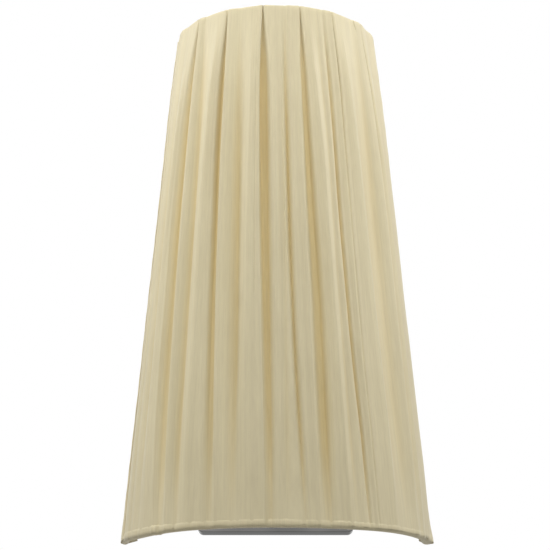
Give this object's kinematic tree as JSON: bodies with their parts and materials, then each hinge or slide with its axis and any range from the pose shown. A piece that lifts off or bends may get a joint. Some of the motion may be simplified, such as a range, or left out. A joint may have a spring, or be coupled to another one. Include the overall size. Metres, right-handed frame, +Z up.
{
  "type": "wall light",
  "caption": "Half-round tapering wall light: pleated ivory cloth shade on a wire frame, lifted off polished pan backplate by thumb nuts, with a candle lamp in a bracketed lampholder.",
  "frame": {"origin": "centre of the mounting strap slot pattern on the wall plane, which is the centre of the outlet box", "axes": "+Z up, +Y into the wall, +X to the right as seen from the room"},
  "size_m": [0.2032, 0.1016, 0.3524],
  "materials": {
    "polished_metal": "polished",
    "zinc_steel": "zinc plated",
    "green_screw": "dyed zinc",
    "copper_wire": "bare copper",
    "brass": "plain",
    "phenolic": "moulded",
    "black_insulation": "satin",
    "white_insulation": "satin",
    "bushing_plastic": "satin",
    "connector_plastic": "moulded",
    "frosted_glass": "frosted",
    "lamp_metal": "satin",
    "lamp_insulation": "glassy",
    "frame_wire": "white powder coat",
    "ivory_cloth": "slub weave",
    "lining_cloth": "plain weave"
  },
  "bodies": {
    "wall_unit": {"backplate": "polished_metal", "black_lead": "black_insulation", "bracket_rivets": "zinc_steel", "cap_nuts": "polished_metal", "centre_contact": "brass", "ground_lead": "copper_wire", "ground_screw": "green_screw", "lampholder": "phenolic", "mounting_strap": "zinc_steel", "nipple_locknut": "brass", "plate_studs": "zinc_steel", "screw_shell": "brass", "shade_posts": "polished_metal", "socket_bracket": "zinc_steel", "socket_nipple": "brass", "stud_lock_nuts": "zinc_steel", "white_lead": "white_insulation", "wire_bushing": "bushing_plastic", "wire_connectors": "connector_plastic"},
    "shade": {"top_ring": "frame_wire", "bottom_ring": "frame_wire", "side_wires": "frame_wire", "rib_wires": "frame_wire", "lower_cross_strap": "frame_wire", "upper_cross_strap": "frame_wire", "pleated_cover": "ivory_cloth", "shade_lining": "lining_cloth", "bottom_hem": "ivory_cloth", "top_hem": "ivory_cloth", "left_binding": "ivory_cloth", "right_binding": "ivory_cloth"},
    "lamp": {"lamp_glass": "frosted_glass", "lamp_base": "lamp_metal", "lamp_insulator": "lamp_insulation", "lamp_foot_contact": "lamp_metal"},
    "lower_nut": {"thumb_nut_lower": "polished_metal"},
    "upper_nut": {"thumb_nut_upper": "polished_metal"}
  },
  "joints": [
    {"name": "shade_pull_off", "type": "slide", "parent": "wall_unit", "child": "shade", "axis": [0, -1, 0], "range_m": [0, 0.12]},
    {"name": "lower_nut_turn", "type": "hinge", "parent": "shade", "child": "lower_nut", "pos_m": [0, -0.0275, -0.0983], "axis": [0, -1, 0], "continuous": true},
    {"name": "upper_nut_turn", "type": "hinge", "parent": "shade", "child": "upper_nut", "pos_m": [0, -0.0275, 0.1137], "axis": [0, -1, 0], "continuous": true},
    {"name": "lamp_turn", "type": "hinge", "parent": "wall_unit", "child": "lamp", "pos_m": [0, -0.05, 0], "axis": [0, 0, 1], "continuous": true}
  ]
}
